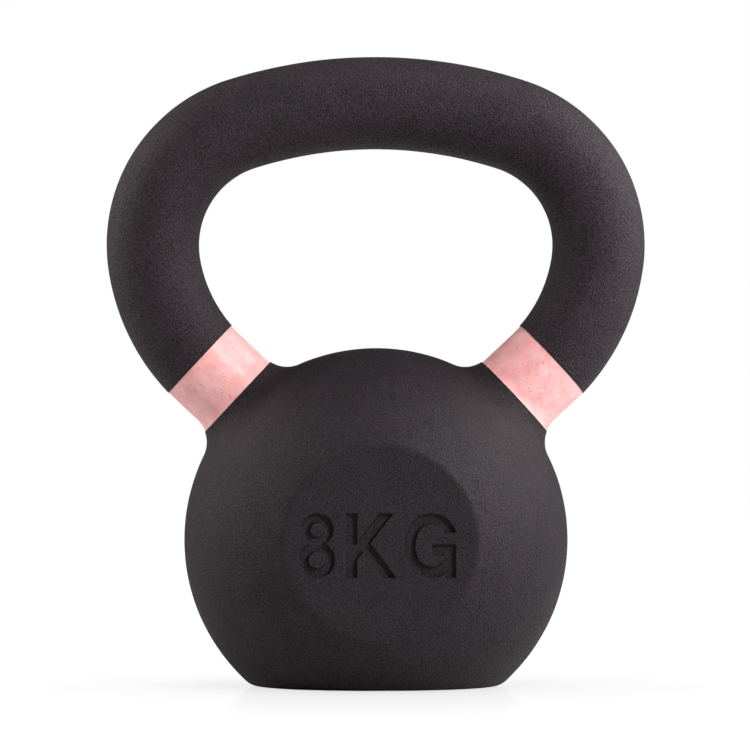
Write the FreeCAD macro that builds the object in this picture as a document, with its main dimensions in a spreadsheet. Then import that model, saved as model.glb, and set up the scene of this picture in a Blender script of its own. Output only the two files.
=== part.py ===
"""A one-piece cast-iron kettlebell with a powder coat and two painted bands.

The casting is a ball with a flat base, a flat face at the front and at the back,
and a round bar that leaves the ball as two horns and closes over it as the grip.
A black powder coat covers the ball and the grip as two separate skins. Between
them the horns are masked and painted, so that each one carries a coloured band.
The front face holds a recessed weight mark.

Frame: millimetres, +Z up, +X to the right of someone facing the weight mark,
which looks along -Y. The origin is the middle of the base, on the ground.
"""

import FreeCAD
import Part
import math
import os

import Sketcher

OUTPUT_FOLDER = "parts"
NO_INSET = "0"
COAT_INSET = "sizes.coat_thickness"
PAINT_INSET = "(sizes.coat_thickness - sizes.paint_thickness)"
SHARP = 2  # an offset outline keeps its corners
FRONT, BACK = -1, 1
LEFT, RIGHT = -1, 1

# Finished sizes, over the coat, in millimetres and degrees.
SIZES = {
    "ball_diameter": 123.2,
    "centre_height": 46.9,  # ball's centre above the ground
    "face_inset": 8.15,  # how far each flat face lies below the top of the ball's curve
    "base_edge": 6.0,  # round between the base and the ball
    "face_edge": 1.2,  # round at the rim of each flat face
    "root_fillet": 9.6,  # where a horn grows out of the ball
    "grip_diameter": 29.8,
    "handle_height": 202.1,  # overall
    "handle_width": 173.2,  # overall
    "top_bend": 141.9,  # bend radii of the bar's centre line
    "corner_bend": 40.8,
    "side_bend": 57.9,
    "horn_rise": 43.2,  # slope of a horn above the horizontal, in degrees
    "horn_aim": 4.7,  # the horns' axes cross this far above the ball's centre
    "band_start": 60.6,  # along a horn, from that crossing
    "band_width": 17.0,
    "coat_thickness": 0.4,
    "paint_thickness": 0.15,
    "mark_height": 20.2,
    "mark_stroke": 3.5,
    "mark_depth": 1.5,
    "mark_lean": 16.0,  # lean of a recess wall away from square, in degrees
    "mark_lift": -0.8,  # middle of the mark above the ball's centre
    "eight_middle": -20.0,  # characters, across from the middle of the ball
    "eight_upper": 7.2,  # diameters along the middle of the two rings' strokes
    "eight_lower": 8.2,
    "eight_stroke": 3.1,
    "kay_left": -10.9,
    "kay_width": 15.7,
    "kay_notch": 7.6,  # inner corner of arm and leg, from the left edge
    "kay_notch_rise": 0.8,
    "kay_arm_slope": 52.0,
    "gee_left": 7.3,
    "gee_width": 16.8,  # over the full oval
    "gee_bend": 8.0,  # outer radius at the top and at the bottom
    "gee_opening": 4.0,  # height of the upper end above the middle
    "gee_bar_left": 8.6,  # from the left edge
    "gee_bar_rise": 0.4,
    "gee_post_right": 16.1,
}


def make_sheet(doc):
    """The spreadsheet that every other object reads its sizes from."""
    sheet = doc.addObject("Spreadsheet::Sheet", "sizes")
    for row, (alias, value) in enumerate(SIZES.items(), start=1):
        sheet.set(f"A{row}", alias)
        sheet.set(f"B{row}", str(value))
        sheet.setAlias(f"B{row}", alias)
    doc.recompute()
    return sheet


def origin_plane(body, role):
    return next(f for f in body.Origin.OriginFeatures if f.Role == role)


def new_sketch(body, name, role):
    sketch = body.newObject("Sketcher::SketchObject", name)
    sketch.AttachmentSupport = (origin_plane(body, role), [""])
    sketch.MapMode = "FlatFace"
    return sketch


def add_size(sketch, name, constraint, expression):
    """Adds a dimension and ties it to the sheet."""
    index = sketch.addConstraint(constraint)
    sketch.renameConstraint(index, name)
    sketch.setExpression(f"Constraints.{name}", expression)


def add_ball(doc, body, sheet, inset):
    """The ball with its flat base: a half outline turned about the vertical axis."""
    outline = new_sketch(body, f"{body.Name}_ball_outline", "XZ_Plane")
    radius = sheet.ball_diameter / 2
    centre = FreeCAD.Vector(0, sheet.centre_height, 0)
    base_angle = -math.asin(sheet.centre_height / radius)
    circle = Part.Circle(centre, FreeCAD.Vector(0, 0, 1), radius)
    rim_x = radius * math.cos(base_angle)
    top = FreeCAD.Vector(0, sheet.centre_height + radius, 0)
    arc = outline.addGeometry(Part.ArcOfCircle(circle, base_angle, math.pi / 2))
    base = outline.addGeometry(Part.LineSegment(FreeCAD.Vector(0, 0, 0), FreeCAD.Vector(rim_x, 0, 0)))
    axis = outline.addGeometry(Part.LineSegment(top, FreeCAD.Vector(0, 0, 0)))
    outline.addConstraint(Sketcher.Constraint("Coincident", base, 2, arc, 1))
    outline.addConstraint(Sketcher.Constraint("Coincident", axis, 1, arc, 2))
    outline.addConstraint(Sketcher.Constraint("Coincident", axis, 2, base, 1))
    outline.addConstraint(Sketcher.Constraint("Horizontal", base))
    outline.addConstraint(Sketcher.Constraint("PointOnObject", base, 1, -2))
    outline.addConstraint(Sketcher.Constraint("PointOnObject", arc, 2, -2))
    outline.addConstraint(Sketcher.Constraint("PointOnObject", arc, 3, -2))
    add_size(outline, "radius", Sketcher.Constraint("Radius", arc, radius),
             f"sizes.ball_diameter / 2 - {inset}")
    add_size(outline, "centre", Sketcher.Constraint("DistanceY", -1, 1, arc, 3, sheet.centre_height),
             "sizes.centre_height")
    add_size(outline, "ground", Sketcher.Constraint("DistanceY", base, 1, arc, 3, sheet.centre_height),
             f"sizes.centre_height - {inset}")
    ball = body.newObject("PartDesign::Revolution", f"{body.Name}_ball")
    ball.Profile = outline
    ball.ReferenceAxis = (outline, ["V_Axis"])
    ball.Angle = 360
    doc.recompute()
    return ball


def bend_layout(sheet):
    """Where the bar's centre line changes from one bend to the next, worked out for its right half.

    Headings turn clockwise from level at the top. Returns the three bend centres and the heading
    at the end of each bend.
    """
    half_span = (sheet.handle_width - sheet.grip_diameter) / 2
    top = sheet.handle_height - sheet.grip_diameter / 2
    heading_end = math.pi - math.radians(sheet.horn_rise)

    def outward(heading):
        return FreeCAD.Vector(math.sin(heading), math.cos(heading), 0)

    heading_top = math.asin((half_span - sheet.corner_bend) / (sheet.top_bend - sheet.corner_bend))
    top_centre = FreeCAD.Vector(0, top - sheet.top_bend, 0)
    corner_centre = top_centre + outward(heading_top) * (sheet.top_bend - sheet.corner_bend)
    crossing = FreeCAD.Vector(0, sheet.centre_height + sheet.horn_aim, 0)
    reach = (crossing - corner_centre).dot(outward(heading_end))
    turn = math.acos((sheet.side_bend - reach) / (sheet.side_bend - sheet.corner_bend))
    heading_corner = heading_end - turn
    side_centre = corner_centre + outward(heading_corner) * (sheet.corner_bend - sheet.side_bend)
    return (top_centre, corner_centre, side_centre), (heading_top, heading_corner, heading_end)


def add_bar(doc, body, sheet, inset):
    """Grip and horns: a round section swept along three bends and a straight horn, then mirrored."""
    centres, headings = bend_layout(sheet)
    radii = (sheet.top_bend, sheet.corner_bend, sheet.side_bend)
    line = new_sketch(body, f"{body.Name}_bar_line", "XZ_Plane")
    grip_middle = sheet.handle_height - sheet.grip_diameter / 2
    quarter = math.pi / 2
    arcs = []
    begin = 0.0
    for centre, radius, end in zip(centres, radii, headings):
        circle = Part.Circle(centre, FreeCAD.Vector(0, 0, 1), radius)
        arcs.append(line.addGeometry(Part.ArcOfCircle(circle, quarter - end, quarter - begin)))
        begin = end
    foot = centres[2] + FreeCAD.Vector(math.sin(headings[2]), math.cos(headings[2]), 0) * radii[2]
    crossing = FreeCAD.Vector(0, sheet.centre_height + sheet.horn_aim, 0)
    horn = line.addGeometry(Part.LineSegment(foot, crossing))
    top, corner, side = arcs
    line.addConstraint(Sketcher.Constraint("Tangent", top, 1, corner, 2))
    line.addConstraint(Sketcher.Constraint("Tangent", corner, 1, side, 2))
    line.addConstraint(Sketcher.Constraint("Tangent", side, 1, horn, 1))
    line.addConstraint(Sketcher.Constraint("PointOnObject", top, 2, -2))
    line.addConstraint(Sketcher.Constraint("PointOnObject", top, 3, -2))
    line.addConstraint(Sketcher.Constraint("PointOnObject", horn, 2, -2))
    for arc, name in zip(arcs, ("top_bend", "corner_bend", "side_bend")):
        add_size(line, name, Sketcher.Constraint("Radius", arc, getattr(sheet, name)), f"sizes.{name}")
    add_size(line, "grip_height",
             Sketcher.Constraint("DistanceY", -1, 1, top, 2, grip_middle),
             "sizes.handle_height - sizes.grip_diameter / 2")
    add_size(line, "corner_reach", Sketcher.Constraint("DistanceX", -1, 1, corner, 3, centres[1].x),
             "(sizes.handle_width - sizes.grip_diameter) / 2 - sizes.corner_bend")
    add_size(line, "crossing", Sketcher.Constraint("DistanceY", -1, 1, horn, 2, crossing.y),
             "sizes.centre_height + sizes.horn_aim")
    add_size(line, "rise", Sketcher.Constraint("Angle", -1, 1, horn, 2, math.radians(sheet.horn_rise)),
             "sizes.horn_rise * 1 deg")

    section = new_sketch(body, f"{body.Name}_bar_section", "YZ_Plane")
    middle = FreeCAD.Vector(0, grip_middle, 0)
    ring = section.addGeometry(Part.Circle(middle, FreeCAD.Vector(0, 0, 1), sheet.grip_diameter / 2))
    section.addConstraint(Sketcher.Constraint("PointOnObject", ring, 3, -2))
    add_size(section, "radius", Sketcher.Constraint("Radius", ring, sheet.grip_diameter / 2),
             f"sizes.grip_diameter / 2 - {inset}")
    add_size(section, "height", Sketcher.Constraint("DistanceY", -1, 1, ring, 3, grip_middle),
             "sizes.handle_height - sizes.grip_diameter / 2")
    doc.recompute()

    bar = body.newObject("PartDesign::AdditivePipe", f"{body.Name}_bar")
    bar.Profile = section
    bar.Spine = (line, [f"Edge{n + 1}" for n in range(4)])
    doc.recompute()
    other_half = body.newObject("PartDesign::Mirrored", f"{body.Name}_other_half")
    other_half.Originals = [bar]
    other_half.MirrorPlane = (origin_plane(body, "YZ_Plane"), [""])
    body.Tip = other_half
    doc.recompute()
    return other_half


def edges_where(shape, test):
    """Names of the edges whose neighbouring faces pass the test, given as (edge, surface types)."""
    names = []
    for number, edge in enumerate(shape.Edges, start=1):
        kinds = {face.Surface.TypeId for face in shape.ancestorsOfType(edge, Part.Face)}
        if test(edge, kinds):
            names.append(f"Edge{number}")
    return names


def add_fillet(doc, body, name, base, edges, expression):
    fillet = body.newObject("PartDesign::Fillet", f"{body.Name}_{name}")
    fillet.Base = (base, edges)
    fillet.setExpression("Radius", expression)
    body.Tip = fillet
    doc.recompute()
    return fillet


def add_flat_face(doc, body, sheet, base, inset, side):
    """Cuts the ball flat, square to the Y axis, at the front or at the back."""
    place = "front" if side == FRONT else "back"
    disc = new_sketch(body, f"{body.Name}_{place}_cut_outline", "XZ_Plane")
    disc.setExpression("AttachmentOffset.Base.z", f"{-side} * (sizes.ball_diameter / 2 - sizes.face_inset - {inset})")
    centre = FreeCAD.Vector(0, sheet.centre_height, 0)
    ring = disc.addGeometry(Part.Circle(centre, FreeCAD.Vector(0, 0, 1), sheet.ball_diameter / 2))
    disc.addConstraint(Sketcher.Constraint("PointOnObject", ring, 3, -2))
    add_size(disc, "radius", Sketcher.Constraint("Radius", ring, sheet.ball_diameter / 2),
             "sizes.ball_diameter / 2")
    add_size(disc, "centre", Sketcher.Constraint("DistanceY", -1, 1, ring, 3, sheet.centre_height),
             "sizes.centre_height")
    doc.recompute()
    cut = body.newObject("PartDesign::Pocket", f"{body.Name}_{place}_cut")
    cut.Profile = disc
    cut.Reversed = side == FRONT
    cut.setExpression("Length", "sizes.ball_diameter / 2")
    body.Tip = cut
    doc.recompute()
    return cut


def make_joined_form(doc, sheet, name, inset):
    """Ball, bar and the rounds between them, lying `inset` below the finished surface."""
    body = doc.addObject("PartDesign::Body", name)
    add_ball(doc, body, sheet, inset)
    bar = add_bar(doc, body, sheet, inset)
    roots = edges_where(bar.Shape, lambda edge, kinds: len(kinds) == 2
                        and "Part::GeomSphere" in kinds and "Part::GeomPlane" not in kinds)
    add_fillet(doc, body, "roots", bar, roots, f"sizes.root_fillet + {inset}")
    return body


def make_full_form(doc, sheet, name, inset):
    """The joined form with its flat faces and rounded rims."""
    body = make_joined_form(doc, sheet, name, inset)
    front = add_flat_face(doc, body, sheet, body.Tip, inset, FRONT)
    back = add_flat_face(doc, body, sheet, front, inset, BACK)
    faceted = {"Part::GeomSphere", "Part::GeomPlane"}
    ground = sheet.centre_height / 2

    def high(edge, kinds):
        return kinds == faceted and edge.BoundBox.ZMax > ground

    def low(edge, kinds):
        return kinds == faceted and edge.BoundBox.ZMax < ground

    rims = edges_where(back.Shape, high)
    rounded = add_fillet(doc, body, "rims", back, rims, f"sizes.face_edge - {inset}")
    foot = edges_where(rounded.Shape, low)
    add_fillet(doc, body, "foot", rounded, foot, f"sizes.base_edge - {inset}")
    return body


def mark_sketch(doc, name):
    """A sketch on the finished front face, with its origin at the middle of the mark."""
    sketch = doc.addObject("Sketcher::SketchObject", name)
    sketch.Placement.Rotation = FreeCAD.Rotation(FreeCAD.Vector(1, 0, 0), 90)
    sketch.setExpression("Placement.Base.y", "sizes.face_inset - sizes.ball_diameter / 2")
    sketch.setExpression("Placement.Base.z", "sizes.centre_height + sizes.mark_lift")
    return sketch


def close_polygon(sheet, sketch, corners):
    """Adds the sides of a polygon whose corners are given as pairs of expressions."""
    points = [FreeCAD.Vector(sheet.evalExpression(x), sheet.evalExpression(y), 0) for x, y in corners]
    ends = points[1:] + points[:1]
    sides = [sketch.addGeometry(Part.LineSegment(a, b)) for a, b in zip(points, ends)]
    for side, following in zip(sides, sides[1:] + sides[:1]):
        sketch.addConstraint(Sketcher.Constraint("Coincident", side, 2, following, 1))
    return sides


def place_point(sheet, sketch, name, geometry, end, position):
    """Holds one point of a sketch at a position given as two expressions."""
    for axis, expression in zip("XY", position):
        value = sheet.evalExpression(expression)
        add_size(sketch, f"{name}_{axis}",
                 Sketcher.Constraint(f"Distance{axis}", -1, 1, geometry, end, value), expression)


def draw_polygon(doc, sheet, name, corners):
    sketch = mark_sketch(doc, name)
    sides = close_polygon(sheet, sketch, corners)
    for number, (side, corner) in enumerate(zip(sides, corners)):
        place_point(sheet, sketch, f"corner{number}", side, 1, corner)
    return sketch


def draw_circle(doc, sheet, name, centre, radius):
    sketch = mark_sketch(doc, name)
    middle = FreeCAD.Vector(*(sheet.evalExpression(part) for part in centre), 0)
    size = sheet.evalExpression(radius)
    ring = sketch.addGeometry(Part.Circle(middle, FreeCAD.Vector(0, 0, 1), size))
    place_point(sheet, sketch, "centre", ring, 3, centre)
    add_size(sketch, "radius", Sketcher.Constraint("Radius", ring, size), radius)
    return sketch


def draw_oval(doc, sheet, name, centre_x, reach, height, bend):
    """An oval of four tangent arcs, `reach` by `height` from its middle, radius `bend` at both ends."""
    sketch = mark_sketch(doc, name)
    side_radius = (f"(({height} - {bend}) ^ 2 + ({reach}) ^ 2 - ({bend}) ^ 2)"
                   f" / (2 * ({reach} - {bend}))")
    middle, half_width, half_height, end, side = (
        sheet.evalExpression(part) for part in (centre_x, reach, height, bend, side_radius))
    turn = math.atan2(half_height - end, side - half_width)
    normal = FreeCAD.Vector(0, 0, 1)
    centres = [
        FreeCAD.Vector(middle + half_width - side, 0, 0),
        FreeCAD.Vector(middle, half_height - end, 0),
        FreeCAD.Vector(middle - half_width + side, 0, 0),
        FreeCAD.Vector(middle, end - half_height, 0),
    ]
    spans = [(-turn, turn), (turn, math.pi - turn), (math.pi - turn, math.pi + turn),
             (math.pi + turn, 2 * math.pi - turn)]
    arcs = [
        sketch.addGeometry(Part.ArcOfCircle(Part.Circle(centre, normal, radius), *span))
        for centre, radius, span in zip(centres, (side, end, side, end), spans)
    ]
    for arc, following in zip(arcs, arcs[1:] + arcs[:1]):
        sketch.addConstraint(Sketcher.Constraint("Tangent", arc, 2, following, 1))
    place_point(sheet, sketch, "top_centre", arcs[1], 3, (centre_x, f"{height} - {bend}"))
    place_point(sheet, sketch, "low_centre", arcs[3], 3, (centre_x, f"{bend} - {height}"))
    sketch.addConstraint(Sketcher.Constraint("Equal", arcs[1], arcs[3]))
    add_size(sketch, "top_radius", Sketcher.Constraint("Radius", arcs[1], end), bend)
    add_size(sketch, "right_radius", Sketcher.Constraint("Radius", arcs[0], side), side_radius)
    add_size(sketch, "left_radius", Sketcher.Constraint("Radius", arcs[2], side), side_radius)
    return sketch


def draw_mark(doc, sheet):
    """The three characters, each as the outlines it fills and the outlines left standing in it."""
    half = "sizes.mark_height / 2"
    stroke = "sizes.mark_stroke"
    rings = {}
    for name, sign in (("upper", ""), ("lower", "-")):
        outer = f"(sizes.eight_{name} + sizes.eight_stroke) / 2"
        inner = f"(sizes.eight_{name} - sizes.eight_stroke) / 2"
        centre = ("sizes.eight_middle", f"{sign}({half} - {outer})")
        rings[name] = (draw_circle(doc, sheet, f"eight_{name}_ring", centre, outer),
                       draw_circle(doc, sheet, f"eight_{name}_island", centre, inner))
    eight = [rings["upper"][0], rings["lower"][0]], [rings["upper"][1], rings["lower"][1]], []

    left = "sizes.kay_left"
    right = f"({left} + sizes.kay_width)"
    notch_x = f"({left} + sizes.kay_notch)"
    notch_y = "sizes.kay_notch_rise"
    arm = "(sizes.kay_arm_slope * 1 deg)"
    leg = f"atan(({notch_y} + {half}) / ({right} - {notch_x}))"
    arm_top = f"{notch_x} + ({half} - {notch_y}) / tan{arm}"
    fork_run = f"{stroke} * cos{arm} / sin({arm} + {leg})"
    fork_drop = f"{stroke} * sin{arm} / sin({arm} + {leg})"
    stem_rise = f"{notch_y} - (sizes.kay_notch - {stroke}) * tan{arm}"
    kay = [draw_polygon(doc, sheet, "kay_strokes", [
        (left, half), (f"{left} + {stroke}", half),
        (f"{left} + {stroke}", f"{stem_rise} + {stroke} / cos{arm}"),
        (f"{arm_top} - {stroke} / sin{arm}", half), (arm_top, half), (notch_x, notch_y),
        (right, f"-{half}"), (f"{right} - {stroke} / sin({leg})", f"-{half}"),
        (f"{notch_x} - {fork_run}", f"{notch_y} - {fork_drop}"),
        (f"{left} + {stroke}", stem_rise), (f"{left} + {stroke}", f"-{half}"), (left, f"-{half}"),
    ])], [], []

    reach = "sizes.gee_width / 2"
    middle = f"(sizes.gee_left + {reach})"
    post_right = "(sizes.gee_left + sizes.gee_post_right)"
    post_left = f"({post_right} - {stroke})"
    bar_left = "(sizes.gee_left + sizes.gee_bar_left)"
    bar_top = "sizes.gee_bar_rise"
    bowl = draw_oval(doc, sheet, "gee_bowl", middle, reach, half, "sizes.gee_bend")
    island = draw_oval(doc, sheet, "gee_island", middle, f"({reach} - {stroke})",
                       f"({half} - {stroke})", f"(sizes.gee_bend - {stroke})")
    opening = draw_polygon(doc, sheet, "gee_opening", [
        (middle, "sizes.gee_opening"), (f"{post_right} + {stroke}", "sizes.gee_opening"),
        (f"{post_right} + {stroke}", f"-{half} - {stroke}"),
        (f"{post_right} - {stroke} / 2", f"-{half} - {stroke}"),
        (f"{post_right} - {stroke} / 2", f"{bar_top} - {stroke} / 2"),
        (middle, f"{bar_top} - {stroke} / 2"),
    ])
    post = draw_polygon(doc, sheet, "gee_post", [
        (bar_left, bar_top), (post_right, bar_top), (post_right, f"-{half}"), (post_left, f"-{half}"),
        (post_left, f"{bar_top} - {stroke}"), (bar_left, f"{bar_top} - {stroke}"),
    ])
    return {"eight": eight, "kay": kay, "gee": ([bowl], [island, opening], [post])}


def lean_in(doc, outline, name, inset, grow):
    """A solid on one outline. Its walls lean in with depth, or out where it stands in a recess."""
    sign = "" if grow else "-"
    profile = outline
    if inset != NO_INSET:
        profile = doc.addObject("Part::Offset2D", f"{name}_edge")
        profile.Source = outline
        profile.Join = SHARP
        profile.setExpression("Value", f"{sign}{inset} / cos(sizes.mark_lean * 1 deg)")
    solid = doc.addObject("Part::Extrusion", name)
    solid.Base = profile
    solid.DirMode = "Custom"
    solid.Dir = FreeCAD.Vector(0, 1, 0)
    solid.Solid = True
    solid.setExpression("LengthFwd", f"sizes.mark_depth + {inset}")
    solid.setExpression("TaperAngle", f"{'-' if grow else ''}sizes.mark_lean")
    return solid


def combine(doc, kind, name, parts):
    """A fuse of several objects, or a cut of the second from the first."""
    if kind == "Part::MultiFuse":
        if len(parts) == 1:
            return parts[0]
        result = doc.addObject(kind, name)
        result.Shapes = parts
        return result
    result = doc.addObject(kind, name)
    result.Base, result.Tool = parts
    return result


def make_recess(doc, mark, form, inset):
    """The three solids taken out of one form for the mark."""
    characters = []
    for name, (filled, standing, added) in mark.items():
        label = f"{form}_{name}"

        def solids(outlines, grow):
            return [lean_in(doc, part, f"{label}_{part.Name}", inset, grow) for part in outlines]

        cut = combine(doc, "Part::MultiFuse", f"{label}_filled", solids(filled, True))
        if standing:
            islands = combine(doc, "Part::MultiFuse", f"{label}_standing", solids(standing, False))
            cut = combine(doc, "Part::Cut", f"{label}_open", [cut, islands])
        if added:
            cut = combine(doc, "Part::MultiFuse", f"{label}_whole", [cut, *solids(added, True)])
        characters.append(cut)
    return combine(doc, "Part::MultiFuse", f"{form}_mark", characters)


def make_wedge(doc, sheet, name, distance):
    """Everything below the two planes that cross the horns at one distance along them."""
    body = doc.addObject("PartDesign::Body", name)
    outline = new_sketch(body, f"{name}_outline", "XZ_Plane")
    apex = f"sizes.centre_height + sizes.horn_aim + ({distance}) / sin(sizes.horn_rise * 1 deg)"
    spread = "sizes.handle_width"
    shoulder = f"{apex} - {spread} / tan(sizes.horn_rise * 1 deg)"
    bottom = "-sizes.handle_height"
    corners = [("0", apex), (spread, shoulder), (spread, bottom), (f"-{spread}", bottom),
               (f"-{spread}", shoulder)]
    sides = close_polygon(sheet, outline, corners)
    outline.addConstraint(Sketcher.Constraint("PointOnObject", sides[0], 1, -2))
    apex_height = sheet.evalExpression(apex)
    add_size(outline, "apex", Sketcher.Constraint("DistanceY", -1, 1, sides[0], 1, apex_height), apex)
    for number in range(1, 5):
        place_point(sheet, outline, f"corner{number}", sides[number], 1, corners[number])
    block = body.newObject("PartDesign::Pad", f"{name}_block")
    block.Profile = outline
    block.SideType = "Symmetric"
    block.setExpression("Length", "2 * sizes.ball_diameter")
    body.Tip = block
    return body


def make_side_block(doc, name, side):
    """A box that holds one horn's side of the kettlebell."""
    box = doc.addObject("Part::Box", name)
    box.setExpression("Length", "sizes.handle_width")
    box.setExpression("Width", "2 * sizes.ball_diameter")
    box.setExpression("Height", "2 * sizes.handle_height")
    if side == LEFT:
        box.setExpression("Placement.Base.x", "-sizes.handle_width")
    box.setExpression("Placement.Base.y", "-sizes.ball_diameter")
    return box


def build(doc):
    """Makes the casting, its two coats and its two painted bands. Returns them by node name."""
    sheet = make_sheet(doc)
    mark = draw_mark(doc, sheet)
    coated_form = make_full_form(doc, sheet, "coated_form", NO_INSET)
    iron_form = make_full_form(doc, sheet, "iron_form", COAT_INSET)
    painted_form = make_joined_form(doc, sheet, "painted_form", PAINT_INSET)
    band_bottom = make_wedge(doc, sheet, "below_bands", "sizes.band_start")
    band_top = make_wedge(doc, sheet, "to_band_tops", "sizes.band_start + sizes.band_width")

    coated = combine(doc, "Part::Cut", "coated",
                     [coated_form, make_recess(doc, mark, "coated", NO_INSET)])
    casting = combine(doc, "Part::Cut", "casting",
                      [iron_form, make_recess(doc, mark, "iron", COAT_INSET)])
    bell = combine(doc, "Part::Common", "bell_outside", [coated, band_bottom])
    grip = combine(doc, "Part::Cut", "grip_outside", [coated, band_top])
    horns = combine(doc, "Part::Common", "horns_up_to_band_tops", [painted_form, band_top])
    bands = combine(doc, "Part::Cut", "bands_outside", [horns, band_bottom])
    pieces = {
        "iron_casting": casting,
        "bell_coat": combine(doc, "Part::Cut", "bell_skin", [bell, casting]),
        "handle_coat": combine(doc, "Part::Cut", "handle_skin", [grip, casting]),
    }
    for name, side in (("left_band", LEFT), ("right_band", RIGHT)):
        block = make_side_block(doc, f"{name}_side", side)
        half = combine(doc, "Part::Common", f"{name}_outside", [bands, block])
        pieces[name] = combine(doc, "Part::Cut", f"{name}_skin", [half, casting])
    doc.recompute()
    for name, piece in pieces.items():
        piece.Label = name
    return pieces


def check(doc):
    """Stops on any object that failed to compute."""
    for item in doc.Objects:
        if "Invalid" in item.State or "Error" in item.State:
            raise RuntimeError(f"{item.Name} did not compute: {item.State}")
        if item.TypeId == "Sketcher::SketchObject" and not item.FullyConstrained:
            raise RuntimeError(f"{item.Name} is not fully constrained")
        if hasattr(item, "Shape") and (item.Shape.isNull() or not item.Shape.isValid()):
            raise RuntimeError(f"{item.Name} has no valid shape")


def main():
    os.makedirs(OUTPUT_FOLDER, exist_ok=True)
    doc = FreeCAD.newDocument("kettlebell")
    pieces = build(doc)
    check(doc)
    for name, piece in pieces.items():
        solids = piece.Shape.Solids
        if len(solids) != 1:
            raise RuntimeError(f"{name} should be one solid and is {len(solids)}")
        solids[0].exportStep(f"{OUTPUT_FOLDER}/{name}.step")
        print(f"{name}: {piece.Shape.Volume:.0f} mm3, {len(piece.Shape.Faces)} faces")


main()
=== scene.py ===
"""Builds the visual model of a coated cast-iron kettlebell and sets it on a pale floor.

The skins are grown from one smooth description of the casting's outside: a ball,
a bent round bar and the round where they join. Everything is in metres, +Z up,
with the middle of the base at the origin and the weight mark facing -Y.
"""

import math

import bmesh
import bpy
import numpy as np
from bpy.props import FloatProperty, FloatVectorProperty, PointerProperty
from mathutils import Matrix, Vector, noise


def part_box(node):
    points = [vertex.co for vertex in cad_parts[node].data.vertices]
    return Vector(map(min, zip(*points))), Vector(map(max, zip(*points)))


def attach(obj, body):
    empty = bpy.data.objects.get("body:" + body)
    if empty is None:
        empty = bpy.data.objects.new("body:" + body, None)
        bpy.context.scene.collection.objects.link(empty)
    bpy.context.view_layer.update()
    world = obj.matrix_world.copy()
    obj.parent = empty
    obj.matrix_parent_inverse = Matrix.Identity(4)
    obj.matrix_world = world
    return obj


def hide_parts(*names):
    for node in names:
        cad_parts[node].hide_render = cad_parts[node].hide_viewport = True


bl_info = {
    "name": "Kettlebell",
    "version": (1, 0, 0),
    "blender": (4, 5, 0),
    "location": "3D View > Sidebar > Kettlebell",
    "description": "Builds a coated cast-iron kettlebell with painted bands",
    "category": "Object",
}

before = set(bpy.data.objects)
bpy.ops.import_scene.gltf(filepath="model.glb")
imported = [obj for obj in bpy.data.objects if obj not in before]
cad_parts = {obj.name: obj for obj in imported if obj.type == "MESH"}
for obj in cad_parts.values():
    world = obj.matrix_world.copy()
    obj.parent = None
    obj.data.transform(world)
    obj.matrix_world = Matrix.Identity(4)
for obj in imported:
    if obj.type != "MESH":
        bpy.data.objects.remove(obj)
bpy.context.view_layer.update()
MM = 0.001
FAR = 1.0  # well past the kettlebell on every side
HANDLE_LOW, HANDLE_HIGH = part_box("handle_coat")
BELL_LOW, BELL_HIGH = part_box("bell_coat")


def length(name, description, default_mm, **settings):
    return FloatProperty(name=name, description=description, default=default_mm * MM,
                         unit="LENGTH", subtype="DISTANCE", precision=5, **settings)


def colour(name, description, default):
    return FloatVectorProperty(name=name, description=description, default=default,
                               subtype="COLOR", size=3, min=0, max=1)


class KettlebellForm(bpy.types.PropertyGroup):
    """Finished sizes of the casting, over its coat"""

    ball_radius: length("Ball radius", "Radius of the ball", 61.6)
    centre_height: length("Centre height", "Ball's centre above the ground", 46.9)
    half_depth: FloatProperty(name="Half depth", description="From the middle to a flat face",
                              default=BELL_HIGH.y, unit="LENGTH", subtype="DISTANCE", precision=5)
    base_edge: length("Base edge", "Round between base and ball", 6.0)
    face_edge: length("Face edge", "Round at the rim of a flat face", 1.2)
    root_fillet: length("Root fillet", "Round between a horn and the ball", 9.6)
    bar_radius: FloatProperty(name="Bar radius", description="Radius of the grip and horns",
                              default=HANDLE_HIGH.y, unit="LENGTH", subtype="DISTANCE", precision=5)
    handle_height: FloatProperty(name="Handle height", description="Top of the grip above the ground",
                                 default=HANDLE_HIGH.z, unit="LENGTH", subtype="DISTANCE", precision=5)
    half_width: FloatProperty(name="Half width", description="From the middle to the handle's side",
                              default=HANDLE_HIGH.x, unit="LENGTH", subtype="DISTANCE", precision=5)
    top_bend: length("Top bend", "Bend radius of the grip's middle", 141.9)
    corner_bend: length("Corner bend", "Bend radius of the handle's corners", 40.8)
    side_bend: length("Side bend", "Bend radius above the horns", 57.9)
    horn_rise: FloatProperty(name="Horn rise", description="Slope of a horn above the horizontal",
                             default=math.radians(43.2), unit="ROTATION", subtype="ANGLE")
    horn_aim: length("Horn aim", "Where the horns' axes cross above the ball's centre", 4.7)
    band_start: length("Band start", "Lower edge of a band, along the horn from that crossing", 60.6)
    band_width: length("Band width", "Width of a painted band", 17.0)
    band_sink: length("Band sink", "How far the paint lies below the coat", 0.25)
    band_tuck: length("Band tuck", "How far the paint runs in under the coat's edges", 0.15)
    coat_thickness: length("Coat thickness", "Thickness of the powder coat", 0.4)
    lip_round: length("Lip round", "How far a coat's edge is drawn in", 0.05)
    unevenness: length("Unevenness", "Depth of the casting's gentle hollows", 0.1)


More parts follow.
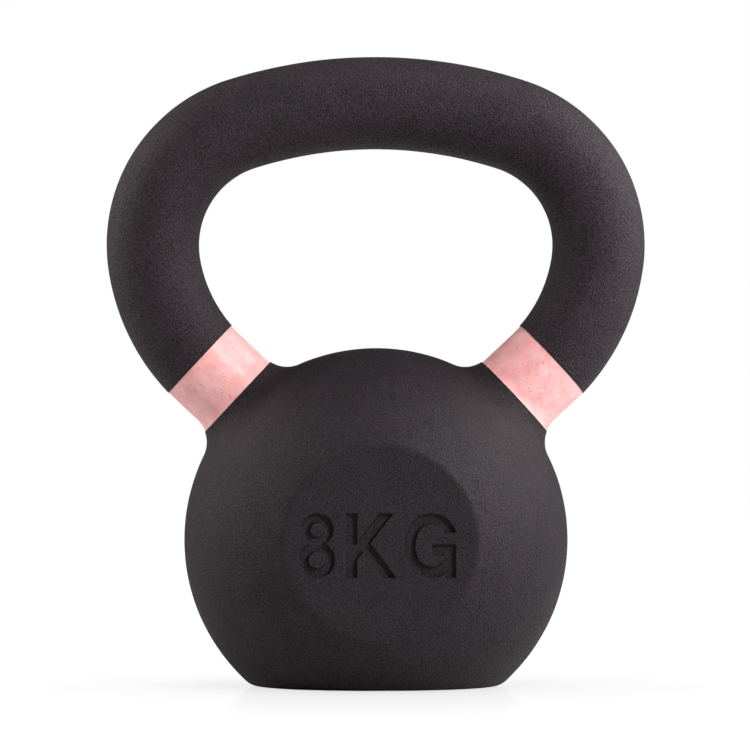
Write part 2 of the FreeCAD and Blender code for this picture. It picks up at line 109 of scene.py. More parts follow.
class KettlebellMark(bpy.types.PropertyGroup):
    """Sizes of the weight mark recessed in the front face"""

    height: length("Height", "Height of a character", 20.2)
    stroke: length("Stroke", "Width of a stroke at the face", 3.5)
    depth: length("Depth", "Depth of the recess", 1.5)
    lean: FloatProperty(name="Lean", description="Lean of a recess wall", default=math.radians(16),
                        unit="ROTATION", subtype="ANGLE")
    lift: length("Lift", "Middle of the mark above the ball's centre", -0.8)
    softness: length("Softness", "How far the coat rounds the recess edges", 0.22)
    patch_reach: length("Patch reach", "Half width of the finely meshed patch round the mark", 27.0)
    patch_margin: length("Patch margin", "How far that patch reaches over and under the mark", 1.5)
    eight_middle: length("Eight middle", "Middle of the 8, across from the middle of the ball", -20.0)
    eight_upper: length("Eight upper", "Outer diameter of the upper ring", 10.3)
    eight_lower: length("Eight lower", "Outer diameter of the lower ring", 11.3)
    eight_stroke: length("Eight stroke", "Width of the rings' strokes", 3.1)
    kay_left: length("K left", "Left edge of the K", -10.9)
    kay_width: length("K width", "Width of the K", 15.7)
    kay_notch: length("K notch", "Inner corner of arm and leg, from the left edge", 7.6)
    kay_notch_rise: length("K notch rise", "Height of that corner above the middle", 0.8)
    kay_arm_slope: FloatProperty(name="K arm slope", description="Slope of the arm above the horizontal",
                                 default=math.radians(52), unit="ROTATION", subtype="ANGLE")
    gee_left: length("G left", "Left edge of the G", 7.3)
    gee_width: length("G width", "Width over the G's full oval", 16.8)
    gee_bend: length("G bend", "Outer radius at the G's top and bottom", 8.0)
    gee_opening: length("G opening", "Height of the G's upper end above the middle", 4.0)
    gee_bar_left: length("G bar left", "Left end of the bar, from the left edge", 8.6)
    gee_bar_rise: length("G bar rise", "Top of the bar above the middle", 0.4)
    gee_post_right: length("G post right", "Right side of the post, from the left edge", 16.1)


class KettlebellFinish(bpy.types.PropertyGroup):
    """Colours of the finishes"""

    coat: colour("Coat", "Powder coat", (0.0176, 0.0126, 0.0156))
    # painted light: the grip's coat is the same powder coat as the ball's, painted lighter to stand for the
    # extra light falling on the round grip
    grip: colour("Grip", "Powder coat of the handle", (0.0245, 0.0178, 0.0217))
    band: colour("Band", "Band paint", (0.97, 0.48, 0.465))
    iron: colour("Iron", "Bare casting", (0.055, 0.05, 0.047))
    floor: colour("Floor", "Studio floor", (0.65, 0.65, 0.65))
    # painted highlight: pale whitish patches that stand for the gloss on the band paint
    painted_sheen: colour("Sheen painted on the band", "Pale worn patches of the band paint", (0.97, 0.74, 0.72))
    pinhole: colour("Pinhole", "Dark pinholes in the band paint", (0.14, 0.065, 0.065))
    rust: colour("Rust", "Faint rust on the bare casting", (0.12, 0.05, 0.025))
    grain: length("Grain", "Spacing of the coat's grain", 0.46)


# The casting's outside as a distance in metres and its direction


def sphere_distance(points, centre, radius):
    offset = points - centre
    distance = np.linalg.norm(offset, axis=1)
    return distance - radius, offset / np.maximum(distance, 1e-12)[:, None]


def bar_pieces(form):
    """Right half of the bar's centre line: bends as (centre, radius, first heading, last heading)."""
    span = form.half_width - form.bar_radius
    top = form.handle_height - form.bar_radius
    heading_top = math.asin((span - form.corner_bend) / (form.top_bend - form.corner_bend))
    heading_end = math.pi - form.horn_rise

    def outward(heading):
        return np.array((math.sin(heading), math.cos(heading)))

    crossing = np.array((0.0, form.centre_height + form.horn_aim))
    top_centre = np.array((0.0, top - form.top_bend))
    corner_centre = top_centre + outward(heading_top) * (form.top_bend - form.corner_bend)
    reach = (crossing - corner_centre) @ outward(heading_end)
    heading_corner = heading_end - math.acos((form.side_bend - reach) / (form.side_bend - form.corner_bend))
    side_centre = corner_centre + outward(heading_corner) * (form.corner_bend - form.side_bend)
    bends = [
        (top_centre, form.top_bend, 0.0, heading_top),
        (corner_centre, form.corner_bend, heading_top, heading_corner),
        (side_centre, form.side_bend, heading_corner, heading_end),
    ]
    foot = side_centre + outward(heading_end) * form.side_bend
    return bends, foot, crossing


def bar_distance(points, form):
    bends, foot, crossing = bar_pieces(form)
    side = np.where(points[:, 0] < 0, -1.0, 1.0)
    flat = np.stack((np.abs(points[:, 0]), points[:, 2]), axis=1)
    best = np.full(len(points), np.inf)
    nearest = np.zeros_like(flat)

    def keep(candidate):
        gap = np.linalg.norm(flat - candidate, axis=1)
        closer = gap < best
        best[closer] = gap[closer]
        nearest[closer] = candidate[closer]

    for centre, radius, first, last in bends:
        offset = flat - centre
        heading = np.clip(np.arctan2(offset[:, 0], offset[:, 1]), first, last)
        keep(centre + radius * np.stack((np.sin(heading), np.cos(heading)), axis=1))
    run = crossing - foot
    share = np.clip((flat - foot) @ run / (run @ run), 0, 1)
    keep(foot + share[:, None] * run)
    offset = np.stack(((flat[:, 0] - nearest[:, 0]) * side, points[:, 1], flat[:, 1] - nearest[:, 1]), axis=1)
    distance = np.linalg.norm(offset, axis=1)
    return distance - form.bar_radius, offset / np.maximum(distance, 1e-12)[:, None]


def rounded_join(points, first, second, radius, filling):
    """Two surfaces joined with a rolling-ball round: a fillet when filling, otherwise an edge round."""
    sign = 1.0 if filling else -1.0
    (a, grad_a), (b, grad_b) = first(points), second(points)
    outer = a < b if filling else a > b
    distance = np.where(outer, a, b)
    grad = np.where(outer[:, None], grad_a, grad_b)
    near = np.abs(a) < 1.5 * radius
    near &= np.abs(b) < 1.5 * radius
    if not near.any():
        return distance, grad
    start = points[near]
    centre = start.copy()
    for _ in range(4):
        (ca, ga), (cb, gb) = first(centre), second(centre)
        cosine = np.clip((ga * gb).sum(axis=1), -0.999, 0.999)
        need_a = sign * radius - ca
        need_b = sign * radius - cb
        spread = 1 - cosine**2
        step_a = (need_a - cosine * need_b) / spread
        step_b = (need_b - cosine * need_a) / spread
        centre += step_a[:, None] * ga + step_b[:, None] * gb
    (_, ga), (_, gb) = first(centre), second(centre)
    offset = centre - start
    cosine = (ga * gb).sum(axis=1)
    along_a = (offset * ga).sum(axis=1)
    along_b = (offset * gb).sum(axis=1)
    share_a = sign * (along_a - cosine * along_b)
    share_b = sign * (along_b - cosine * along_a)
    between = (share_a > 0) & (share_b > 0)
    reach = np.linalg.norm(offset, axis=1)
    index = np.flatnonzero(near)[between]
    distance[index] = sign * (radius - reach[between])
    grad[index] = sign * offset[between] / np.maximum(reach[between], 1e-12)[:, None]
    return distance, grad


def plane_distance(points, normal, height):
    direction = np.array(normal, float)
    return points @ direction - height, np.tile(direction, (len(points), 1))


def outside_distance(points, form):
    centre = np.array((0, 0, form.centre_height))

    def ball(p):
        return sphere_distance(p, centre, form.ball_radius)

    def bar(p):
        return bar_distance(p, form)

    def joined(p):
        return rounded_join(p, ball, bar, form.root_fillet, True)

    def front(p):
        return plane_distance(p, (0, -1, 0), form.half_depth)

    def back(p):
        return plane_distance(p, (0, 1, 0), form.half_depth)

    def ground(p):
        return plane_distance(p, (0, 0, -1), 0)

    def faced(p):
        return rounded_join(p, joined, front, form.face_edge, False)

    def both(p):
        return rounded_join(p, faced, back, form.face_edge, False)

    return rounded_join(points, both, ground, form.base_edge, False)


def settle(points, form, rounds=5):
    """Moves points onto the casting's outside and gives the outward directions there."""
    for _ in range(rounds):
        distance, grad = outside_distance(points, form)
        points = points - distance[:, None] * grad
    return points, outside_distance(points, form)[1]


# The weight mark as a depth below the front face


def oval_inside(x, z, half_width, half_height, bend):
    rise = half_height - bend
    side = (rise**2 + half_width**2 - bend**2) / (2 * (half_width - bend))
    x, z = np.abs(x), np.abs(z)
    turn = math.atan2(rise, side - half_width)
    over_end = np.arctan2(z, x + side - half_width) > turn
    return np.where(over_end, bend - np.hypot(x, z - rise), side - np.hypot(x + side - half_width, z))


def box_inside(x, z, left, right, low, high):
    return np.minimum(np.minimum(x - left, right - x), np.minimum(z - low, high - z))


def eight_inside(x, z, mark):
    half = mark.height / 2

    def ring(centre_z, radius):
        distance = np.hypot(x - mark.eight_middle, z - centre_z)
        return np.minimum(radius - distance, distance - radius + mark.eight_stroke)

    upper, lower = mark.eight_upper / 2, mark.eight_lower / 2
    return np.maximum(ring(half - upper, upper), ring(lower - half, lower))


def kay_inside(x, z, mark):
    half, stroke = mark.height / 2, mark.stroke
    left, right = mark.kay_left, mark.kay_left + mark.kay_width
    notch_x, notch_z = left + mark.kay_notch, mark.kay_notch_rise
    fall = math.atan2(notch_z + half, right - notch_x)
    inner = box_inside(x, z, -FAR, FAR, -half, half)
    stem = box_inside(x, z, left, left + stroke, -half, half)
    arm_edge = (notch_x - x) * math.sin(mark.kay_arm_slope) + (z - notch_z) * math.cos(mark.kay_arm_slope)
    leg_edge = (notch_x - x) * math.sin(fall) - (z - notch_z) * math.cos(fall)
    arm = np.minimum.reduce((arm_edge, stroke - arm_edge, x - left, inner))
    leg = np.minimum.reduce((leg_edge, stroke - leg_edge, stroke - arm_edge, inner))
    return np.maximum.reduce((stem, arm, leg))


def gee_inside(x, z, mark):
    half, stroke, bend = mark.height / 2, mark.stroke, mark.gee_bend
    reach = mark.gee_width / 2
    middle = mark.gee_left + reach
    post_right = mark.gee_left + mark.gee_post_right
    bar_left, bar_top = mark.gee_left + mark.gee_bar_left, mark.gee_bar_rise
    bowl = np.minimum(oval_inside(x - middle, z, reach, half, bend),
                      -oval_inside(x - middle, z, reach - stroke, half - stroke, bend - stroke))
    gap = np.maximum(box_inside(x, z, middle, FAR, bar_top - stroke / 2, mark.gee_opening),
                     box_inside(x, z, post_right - stroke / 2, FAR, -FAR, mark.gee_opening))
    post = box_inside(x, z, post_right - stroke, post_right, -half, bar_top)
    bar = box_inside(x, z, bar_left, post_right, bar_top - stroke, bar_top)
    return np.maximum.reduce((np.minimum(bowl, -gap), post, bar))


def mark_inside(x, z, mark):
    """How far each point of the front face lies inside a stroke, negative outside."""
    return np.maximum.reduce([inside(x, z, mark) for inside in (eight_inside, kay_inside, gee_inside)])


def mark_depth(x, z, mark):
    """Depth of the recess, with both ends of its leaning walls rounded by the coat."""
    soft = mark.softness
    wall = mark_inside(x, z, mark) / math.tan(mark.lean)
    over = mark.depth - (mark.depth - wall + np.sqrt((mark.depth - wall) ** 2 + soft**2)) / 2
    return (over + np.sqrt(over**2 + soft**2)) / 2


# Meshes

BAR_SIDES = 48  # of the rough bar, before it is made even
BEND_STEPS = 24
MIDDLE_REACH = 2 * MM  # how far a cut on one side reaches over the middle


def noise_at(points, spacing, seed, octaves=2):
    """Smooth unevenness between -1 and 1, with features about one spacing across."""
    shift = Vector((seed * 3.7, seed * 1.3, -seed * 2.1))
    return np.array([noise.fractal(Vector(p) / spacing + shift, 1.0, 2.0, octaves) for p in points])


def rough_form(form, voxel):
    """A closed, even mesh of the ball and the bar, before it is settled on the exact outside."""
    mesh = bpy.data.meshes.new("rough")
    bm = bmesh.new()
    bmesh.ops.create_icosphere(bm, subdivisions=5, radius=form.ball_radius)
    for vert in bm.verts:
        vert.co.z = max(vert.co.z + form.centre_height, 0.0)
        vert.co.y = max(-form.half_depth, min(form.half_depth, vert.co.y))
    bends, foot, crossing = bar_pieces(form)
    right = [crossing, foot]
    for centre, radius, first, last in reversed(bends):
        for heading in np.linspace(last, first, BEND_STEPS)[1:]:
            right.append(centre + radius * np.array((math.sin(heading), math.cos(heading))))
    path = [Vector((p[0], 0, p[1])) for p in right]
    path += [Vector((-p.x, 0, p.z)) for p in reversed(path[:-1])]
    forward = Vector((0, 1, 0))
    rings = []
    for number, middle in enumerate(path):
        ahead = path[min(number + 1, len(path) - 1)] - path[max(number - 1, 0)]
        across = ahead.normalized().cross(forward)
        rings.append([
            bm.verts.new(middle + form.bar_radius * (across * math.cos(turn) + forward * math.sin(turn)))
            for turn in np.linspace(0, 2 * math.pi, BAR_SIDES, endpoint=False)
        ])
    for ring, following in zip(rings, rings[1:]):
        for number in range(BAR_SIDES):
            after = (number + 1) % BAR_SIDES
            bm.faces.new((ring[number], ring[after], following[after], following[number]))
    bm.faces.new(reversed(rings[0]))
    bm.faces.new(rings[-1])
    bmesh.ops.recalc_face_normals(bm, faces=bm.faces)
    bm.to_mesh(mesh)
    bm.free()
    made = bpy.data.objects.new("rough", mesh)
    bpy.context.scene.collection.objects.link(made)
    remesh = made.modifiers.new("even", "REMESH")
    remesh.mode = "VOXEL"
    remesh.voxel_size = voxel
    even = bpy.data.meshes.new_from_object(made.evaluated_get(bpy.context.evaluated_depsgraph_get()))
    bpy.data.objects.remove(made)
    return even


def vertex_array(mesh):
    flat = np.empty(len(mesh.vertices) * 3)
    mesh.vertices.foreach_get("co", flat)
    return flat.reshape(-1, 3)


def set_vertices(mesh, points):
    mesh.vertices.foreach_set("co", np.ascontiguousarray(points, dtype=np.float32).ravel())
    mesh.update()


def horn_axis(form, side):
    """Where a horn's axis starts and which way it runs."""
    start = Vector((0, 0, form.centre_height + form.horn_aim))
    return start, Vector((side * math.cos(form.horn_rise), 0, math.sin(form.horn_rise)))


def cut_away(bm, point, direction, side=0):
    """Removes what lies beyond a plane, on one side of the middle when a side is given."""
    def on_side(element):
        return side == 0 or all(v.co.x * side > -MIDDLE_REACH for v in element.verts)

    faces = [f for f in bm.faces if on_side(f)]
    edges = [e for e in bm.edges if on_side(e)]
    verts = [v for v in bm.verts if side == 0 or v.co.x * side > -MIDDLE_REACH]
    bmesh.ops.bisect_plane(bm, geom=verts + edges + faces, plane_co=point, plane_no=direction, dist=1e-7)
    doomed = [f for f in bm.faces if on_side(f) and (f.calc_center_median() - point).dot(direction) > 0]
    bmesh.ops.delete(bm, geom=doomed, context="FACES")


def keep_faces(bm, test):
    """Keeps the faces that pass a test on their centre."""
    doomed = [f for f in bm.faces if not test(f.calc_center_median())]
    bmesh.ops.delete(bm, geom=doomed, context="FACES")


def piece_from(bm, name, material):
    mesh = bpy.data.meshes.new(name)
    bm.to_mesh(mesh)
    bm.free()
    mesh.polygons.foreach_set("use_smooth", [True] * len(mesh.polygons))
    mesh.materials.append(material)
    made = bpy.data.objects.new(name, mesh)
    bpy.context.scene.collection.objects.link(made)
    return made


def casting_skin(form):
    """The whole outside, settled on the casting and made slightly uneven, as a mesh to cut pieces from."""
    key = "kettlebell_skin"
    if key in bpy.data.meshes:
        return bpy.data.meshes[key]
    mesh = rough_form(form, 1.0 * MM)
    mesh.name = key
    mesh.use_fake_user = True
    points, outward = settle(vertex_array(mesh), form)
    swell = 0.5 - 0.5 * np.clip(noise_at(points, 22 * MM, 1) + 0.5 * noise_at(points, 7 * MM, 2), -1, 1)
    points -= outward * swell[:, None] * form.unevenness
    set_vertices(mesh, points)
    return mesh


def sink_lips(bm, form):
    """Turns the open edges of a skin down, so that the skin ends in a soft lip."""
    rim = [e for e in bm.edges if e.is_boundary]
    verts = {v for e in rim for v in e.verts}
    normals = {v: v.normal.copy() for v in verts}
    for vert in verts:
        vert.co -= normals[vert] * form.lip_round
    made = bmesh.ops.extrude_edge_only(bm, edges=rim)
    fresh = [g for g in made["geom"] if isinstance(g, bmesh.types.BMVert)]
    centre = np.array([v.co for v in fresh])
    _, outward = outside_distance(centre, form)
    for vert, direction in zip(fresh, outward):
        vert.co -= Vector(direction) * form.coat_thickness


# Materials


class Field:
    """A socket that Python's operators work on by adding Math nodes."""

    def __init__(self, graph, socket):
        self.graph = graph
        self.socket = socket

    def _math(self, operation, *values):
        return self.graph.node("ShaderNodeMath", {"operation": operation}, dict(enumerate(values)))

    def __add__(self, other):
        return self._math("ADD", self, other)

    def __sub__(self, other):
        return self._math("SUBTRACT", self, other)

    def __rsub__(self, other):
        return self._math("SUBTRACT", other, self)

    def __mul__(self, other):
        return self._math("MULTIPLY", self, other)



class Graph:
    """A material's node tree."""

    def __init__(self, name):
        self.material = bpy.data.materials.new(name)
        self.material.use_nodes = True
        self.tree = self.material.node_tree
        self.tree.nodes.clear()
        self.output = self.tree.nodes.new("ShaderNodeOutputMaterial")

    def node(self, kind, settings=None, values=None, result=0):
        made = self.tree.nodes.new(kind)
        for name, value in (settings or {}).items():
            setattr(made, name, value)
        for name, value in (values or {}).items():
            self.join(value, made.inputs[name])
        return Field(self, made.outputs[result])

    def join(self, value, socket):
        if isinstance(value, Field):
            self.tree.links.new(value.socket, socket)
        else:
            socket.default_value = value

    def place(self):
        return self.node("ShaderNodeTexCoord", result="Object")

    def grain(self, spacing, detail=2.0, roughness=0.5):
        return self.node("ShaderNodeTexNoise", {}, {
            "Vector": self.place(), "Scale": 1 / spacing, "Detail": detail, "Roughness": roughness})

    def cells(self, spacing):
        values = {"Vector": self.place(), "Scale": 1 / spacing}
        return self.node("ShaderNodeTexVoronoi", {"feature": "F1"}, values, "Distance")

    def spread(self, value, low, high, to_low=0.0, to_high=1.0):
        return self.node("ShaderNodeMapRange", {"clamp": True}, {
            "Value": value, "From Min": low, "From Max": high, "To Min": to_low, "To Max": to_high})

    def mix(self, share, first, second):
        """Blends two colours, each a tuple of red, green and blue or a Field."""
        first, second = (part if isinstance(part, Field) else (*part, 1) for part in (first, second))
        settings = {"data_type": "RGBA", "blend_type": "MIX"}
        return self.node("ShaderNodeMix", settings, {0: share, 6: first, 7: second}, 2)

    def bump(self, height, distance):
        return self.node("ShaderNodeBump", {}, {"Height": height, "Distance": distance})

    def surface(self, **sockets):
        shader = self.node("ShaderNodeBsdfPrincipled", {}, {
            name.replace("_", " "): value for name, value in sockets.items()})
        self.tree.links.new(shader.socket, self.output.inputs["Surface"])
        return self.material


def scaled(shade, factor):
    return tuple(min(part * factor, 1.0) for part in shade)


def coat_material(name, shade, grain):
    """Fine sand-textured powder coat: packed grains with a matt, slightly cloudy black, the grain crests
    painted lighter as painted glints and the hollows between them painted darker as painted shade.
    """
    graph = Graph(name)
    shade = tuple(shade)
    cloud = graph.grain(9 * MM, 3)
    fine = graph.grain(grain, 3, 0.6)
    pebbles = graph.cells(grain * 1.1)
    crests_painted_lit = graph.spread(fine * 0.6 + (1 - pebbles) * 0.4, 0.42, 0.68)
    # painted light: the colour runs from 0.15 to 2.2 times the shade with the grain crests, painting glints
    # on the crests and shade in the hollows; the cloud part is the coat's random tone
    tone = crests_painted_lit * 0.65 + cloud * 0.35
    base = graph.mix(tone, scaled(shade, 0.15), scaled(shade, 2.2))
    rough = graph.spread(crests_painted_lit, 0, 1, 0.66, 0.5)
    height = fine * 0.8 + (1 - pebbles) * 0.5 + graph.grain(grain * 4, 2) * 0.8
    normal = graph.bump(height, 0.3 * MM)
    return graph.surface(Base_Color=base, Roughness=rough, Normal=normal, IOR=1.5, Specular_IOR_Level=0.22)


def band_material(finish):
    """Satin paint, thinly laid: soft cloudy blotches, pale whitish patches of painted highlight for the gloss
    on the paint, and dark pinholes.
    """
    graph = Graph("band_paint")
    shade = tuple(finish.band)
    blotch = graph.grain(5 * MM, 3, 0.55)
    fine = graph.grain(0.8 * MM, 3, 0.6)
    # mask of the pale whitish patches of painted highlight
    pale = graph.spread(graph.grain(7 * MM, 4, 0.65), 0.5, 0.72)
    pits = graph.cells(0.85 * MM)
    patch = graph.spread(graph.grain(6 * MM, 2), 0.45, 0.55)
    hole = graph.spread(pits + graph.grain(1.3 * MM, 1) * 0.4, 0.31, 0.38, 1, 0) * patch
    deep = (shade[0] * 0.94, shade[1] * 0.84, shade[2] * 0.84)
    tone = graph.mix(graph.spread(blotch, 0.38, 0.62), deep, scaled(shade, 1.04))
    # painted highlight: the pale patches lay a whitish colour over the band paint to stand for its gloss
    painted_sheen = graph.mix(pale * 0.55, tone, tuple(finish.painted_sheen))
    base = graph.mix(hole * 0.7, painted_sheen, tuple(finish.pinhole))
    height = blotch * 0.5 + fine * 0.35 - hole * 0.6
    normal = graph.bump(height, 0.25 * MM)
    return graph.surface(Base_Color=base, Roughness=graph.spread(fine, 0.3, 0.7, 0.30, 0.44),
                         Normal=normal, IOR=1.5)


def iron_material(finish):
    """Grey iron as cast and shot-blasted, under the coats."""
    graph = Graph("cast_iron")
    shade = tuple(finish.iron)
    skin = graph.grain(0.9 * MM, 4, 0.6)
    rust = graph.spread(graph.grain(12 * MM, 4), 0.62, 0.75)
    bare = graph.mix(skin, scaled(shade, 0.7), scaled(shade, 1.4))
    base = graph.mix(rust * 0.5, bare, tuple(finish.rust))
    return graph.surface(Base_Color=base, Metallic=0.6, Roughness=graph.spread(skin, 0.3, 0.7, 0.5, 0.7),
                         Normal=graph.bump(skin, 0.2 * MM))


class KETTLEBELL_OT_casting(bpy.types.Operator):
    """Give the carried-over iron casting its as-cast finish"""

    bl_idname = "kettlebell.casting"
    bl_label = "Iron casting"

    def execute(self, context):
        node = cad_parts["iron_casting"]
        node.data.materials.clear()
        node.data.materials.append(iron_material(context.scene.kettlebell_finish))
        return {"FINISHED"}


class KETTLEBELL_OT_bell_coat(bpy.types.Operator):
    """Build the powder coat over the ball, with the recessed weight mark"""

    bl_idname = "kettlebell.bell_coat"
    bl_label = "Bell coat"

    def execute(self, context):
        finish = context.scene.kettlebell_finish
        form = context.scene.kettlebell_form
        mark = context.scene.kettlebell_mark
        bm = bmesh.new()
        bm.from_mesh(casting_skin(form))
        for side in (-1, 1):
            start, run = horn_axis(form, side)
            cut_away(bm, start + run * form.band_start, run, side)
        top = form.centre_height + form.horn_aim + form.band_start / math.sin(form.horn_rise)
        keep_faces(bm, lambda c: c.z < top)
        centre = Vector((0, -form.half_depth, form.centre_height + mark.lift))
        reach_x, reach_z = mark.patch_reach, mark.height / 2 + mark.patch_margin

        def in_mark(vert):
            return (vert.co.y < 0 and abs(vert.co.y - centre.y) < 0.5 * MM
                    and abs(vert.co.x - centre.x) < reach_x and abs(vert.co.z - centre.z) < reach_z)

        edges = [e for e in bm.edges if all(in_mark(v) for v in e.verts)]
        bmesh.ops.subdivide_edges(bm, edges=edges, cuts=4, use_grid_fill=True)
        verts = [v for v in bm.verts if in_mark(v)]
        spots = np.array([v.co for v in verts])
        wander = noise_at(spots, 6 * MM, 5) * 0.08 * MM  # strokes cast slightly uneven
        depth = mark_depth(spots[:, 0] - centre.x + wander, spots[:, 2] - centre.z + wander, mark)
        for vert, sink in zip(verts, depth):
            vert.co.y += sink
        bm.normal_update()
        sink_lips(bm, form)
        piece = piece_from(bm, "bell_powder_coat", coat_material("bell_powder", finish.coat, finish.grain))
        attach(piece, "root")
        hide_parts("bell_coat")
        return {"FINISHED"}


def band_of(context):
    return bpy.data.materials.get("band_paint") or band_material(context.scene.kettlebell_finish)


class KETTLEBELL_OT_handle_coat(bpy.types.Operator):
    """Build the powder coat round the grip, from band to band"""

    bl_idname = "kettlebell.handle_coat"
    bl_label = "Handle coat"

    def execute(self, context):
        finish = context.scene.kettlebell_finish
        form = context.scene.kettlebell_form
        bm = bmesh.new()
        bm.from_mesh(casting_skin(form))
        top = form.centre_height + form.ball_radius * 0.6
        for side in (-1, 1):
            start, run = horn_axis(form, side)
            cut_away(bm, start + run * (form.band_start + form.band_width), -run, side)
        keep_faces(bm, lambda c: c.z > top)
        bm.normal_update()
        sink_lips(bm, form)
        # the grip's coat takes the lighter grip colour, painted light for the light that falls on the grip
        piece = piece_from(bm, "grip_powder_coat", coat_material("grip_powder_painted_lighter", finish.grip, finish.grain))
        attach(piece, "root")
        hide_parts("handle_coat")
        return {"FINISHED"}


class KETTLEBELL_OT_bands(bpy.types.Operator):
    """Build the painted band on each horn"""

    bl_idname = "kettlebell.bands"
    bl_label = "Painted bands"

    def execute(self, context):
        form = context.scene.kettlebell_form
        tuck = form.band_tuck
        for name, side in (("left_band", -1), ("right_band", 1)):
            bm = bmesh.new()
            bm.from_mesh(casting_skin(form))
            start, run = horn_axis(form, side)
            keep_faces(bm, lambda c: c.x * side > 20 * MM and c.z > form.centre_height)
            cut_away(bm, start + run * (form.band_start - tuck), -run)
            cut_away(bm, start + run * (form.band_start + form.band_width + tuck), run)
            bm.normal_update()
            for vert in bm.verts:
                vert.co -= vert.normal * form.band_sink
            piece = piece_from(bm, f"{name}_paint", band_of(context))
            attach(piece, "root")
            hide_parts(name)
        return {"FINISHED"}


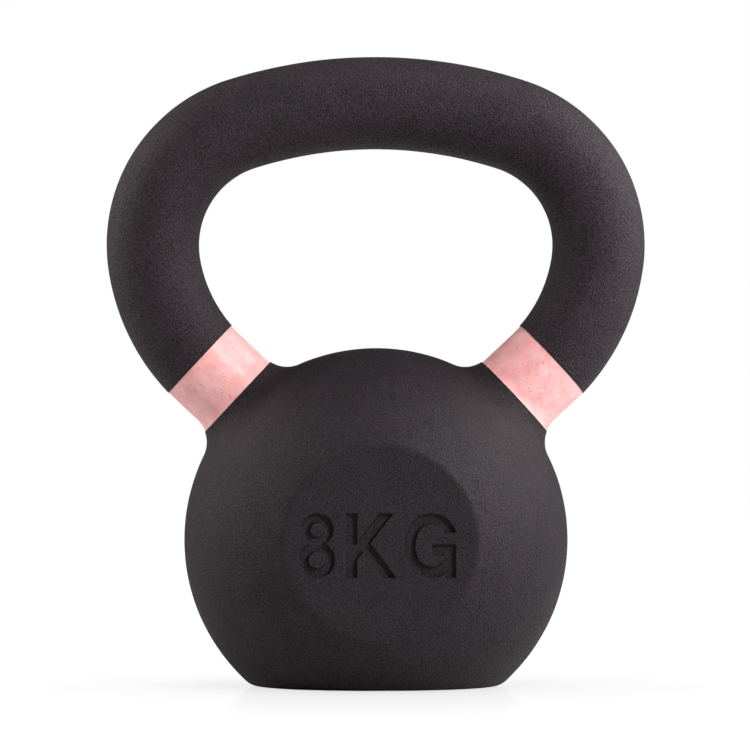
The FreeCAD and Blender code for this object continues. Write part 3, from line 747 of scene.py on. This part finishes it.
class KETTLEBELL_OT_stage(bpy.types.Operator):
    """Set up the pale floor, the soft lights and the camera"""

    bl_idname = "kettlebell.stage"
    bl_label = "Stage"

    def execute(self, context):
        scene = context.scene
        scene.view_settings.view_transform = "Standard"
        self.add_world(scene)
        self.add_floor(scene)
        target = Vector((-0.0003, 0, 0.0998))
        for name, place, size, power, tint in (
            ("key", (0.80, -0.84, 0.62), (0.12, 0.12), 11.8, (1, 0.98, 0.99)),
            ("high_front", (0.10, -0.35, 0.55), (0.25, 0.25), 0.55, (1, 0.98, 0.99)),
            ("right_wall", (0.60, 0.05, 0.42), (0.45, 0.45), 5.2, (1, 0.98, 0.99)),
            ("left_wall", (-0.60, 0.12, 0.38), (0.40, 0.45), 3.7, (1, 0.95, 0.95)),
            ("top", (0.1, 0.1, 1.2), (0.6, 0.5), 1.5, (1, 0.98, 0.99)),
        ):
            light = bpy.data.lights.new(name, "AREA")
            light.shape = "RECTANGLE"
            light.size, light.size_y = size
            light.energy = power
            light.color = tint
            lamp = bpy.data.objects.new(name, light)
            lamp.location = place
            lamp.rotation_mode = "QUATERNION"
            lamp.rotation_quaternion = (target - lamp.location).to_track_quat("-Z", "Y")
            scene.collection.objects.link(lamp)
        camera = bpy.data.objects.new("camera", bpy.data.cameras.new("camera"))
        camera.data.lens = 268.8
        camera.data.sensor_width = 36
        camera.data.clip_start, camera.data.clip_end = 0.05, 20
        distance, turn = 1.8, math.radians(-1.6)
        camera.location = (distance * math.sin(turn) + target.x, -distance * math.cos(turn), 0.085)
        camera.rotation_mode = "QUATERNION"
        camera.rotation_quaternion = (target - camera.location).to_track_quat("-Z", "Y")
        scene.collection.objects.link(camera)
        scene.camera = camera
        return {"FINISHED"}

    def add_world(self, scene):
        world = bpy.data.worlds.new("studio")
        world.use_nodes = True
        tree = world.node_tree
        tree.nodes.clear()
        rays = tree.nodes.new("ShaderNodeLightPath")
        soft = tree.nodes.new("ShaderNodeBackground")
        soft.inputs["Color"].default_value = (1, 1, 1, 1)
        soft.inputs["Strength"].default_value = 0.15
        white = tree.nodes.new("ShaderNodeBackground")
        white.inputs["Color"].default_value = (1, 1, 1, 1)
        white.inputs["Strength"].default_value = 1.0
        mix = tree.nodes.new("ShaderNodeMixShader")
        out = tree.nodes.new("ShaderNodeOutputWorld")
        tree.links.new(rays.outputs["Is Camera Ray"], mix.inputs[0])
        tree.links.new(soft.outputs[0], mix.inputs[1])
        tree.links.new(white.outputs[0], mix.inputs[2])
        tree.links.new(mix.outputs[0], out.inputs["Surface"])
        scene.world = world

    def add_floor(self, scene):
        bm = bmesh.new()
        bmesh.ops.create_grid(bm, x_segments=24, y_segments=24, size=3.0)
        graph = Graph("floor")
        finish = scene.kettlebell_finish
        dust = graph.grain(60 * MM, 2)
        shade = graph.mix(dust, scaled(tuple(finish.floor), 0.985), tuple(finish.floor))
        graph.surface(Base_Color=shade, Roughness=0.35)
        shader = graph.output.inputs["Surface"].links[0].from_socket
        away = graph.node("ShaderNodeVectorMath", {"operation": "LENGTH"}, {0: graph.place()}, "Value")
        white = graph.node("ShaderNodeEmission", {}, {"Color": (1, 1, 1, 1), "Strength": 2.45})
        polish = graph.node("ShaderNodeBsdfGlossy", {}, {"Color": (1, 1, 1, 1), "Roughness": 0.10})
        # painted shade: near the kettlebell the traced polish takes more of the floor and the white glow
        # less, which paints a faint grey zone round the base; farther out the glow is brighter
        polish_share_and_painted_shade = graph.spread(away, 0.08, 0.26, 0.645, 0.57)
        glow = graph.node("ShaderNodeMixShader", {}, {0: polish_share_and_painted_shade, 1: white, 2: polish})
        rays = graph.node("ShaderNodeLightPath", {}, {}, "Is Camera Ray")
        share = graph.spread(away, 0.045, 0.08, 0.85, 1.0)
        blend = graph.node("ShaderNodeMixShader", {}, {0: rays * share, 1: Field(graph, shader), 2: glow})
        graph.tree.links.new(blend.socket, graph.output.inputs["Surface"])
        floor = piece_from(bm, "studio_floor", graph.material)


class KETTLEBELL_PT_panel(bpy.types.Panel):
    """Lists the kettlebell's pieces and sizes"""

    bl_idname = "KETTLEBELL_PT_panel"
    bl_label = "Kettlebell"
    bl_space_type = "VIEW_3D"
    bl_region_type = "UI"
    bl_category = "Kettlebell"

    def draw(self, context):
        layout = self.layout
        for operator in OPERATORS:
            layout.operator(operator.bl_idname)
        for group in ("kettlebell_form", "kettlebell_mark", "kettlebell_finish"):
            box = layout.box()
            values = getattr(context.scene, group)
            for name in values.bl_rna.properties.keys():
                if name not in {"rna_type", "name"}:
                    box.prop(values, name)


OPERATORS = (KETTLEBELL_OT_casting, KETTLEBELL_OT_bell_coat, KETTLEBELL_OT_handle_coat,
             KETTLEBELL_OT_bands, KETTLEBELL_OT_stage)
GROUPS = {"kettlebell_form": KettlebellForm, "kettlebell_mark": KettlebellMark,
          "kettlebell_finish": KettlebellFinish}


def register():
    for cls in (*GROUPS.values(), *OPERATORS, KETTLEBELL_PT_panel):
        bpy.utils.register_class(cls)
    for name, cls in GROUPS.items():
        setattr(bpy.types.Scene, name, PointerProperty(type=cls))


def unregister():
    for name in GROUPS:
        delattr(bpy.types.Scene, name)
    for cls in reversed((*GROUPS.values(), *OPERATORS, KETTLEBELL_PT_panel)):
        bpy.utils.unregister_class(cls)


def main():
    register()
    bpy.ops.kettlebell.casting()
    bpy.ops.kettlebell.bell_coat()
    bpy.ops.kettlebell.handle_coat()
    bpy.ops.kettlebell.bands()
    bpy.ops.kettlebell.stage()


if __name__ == "__main__":
    main()
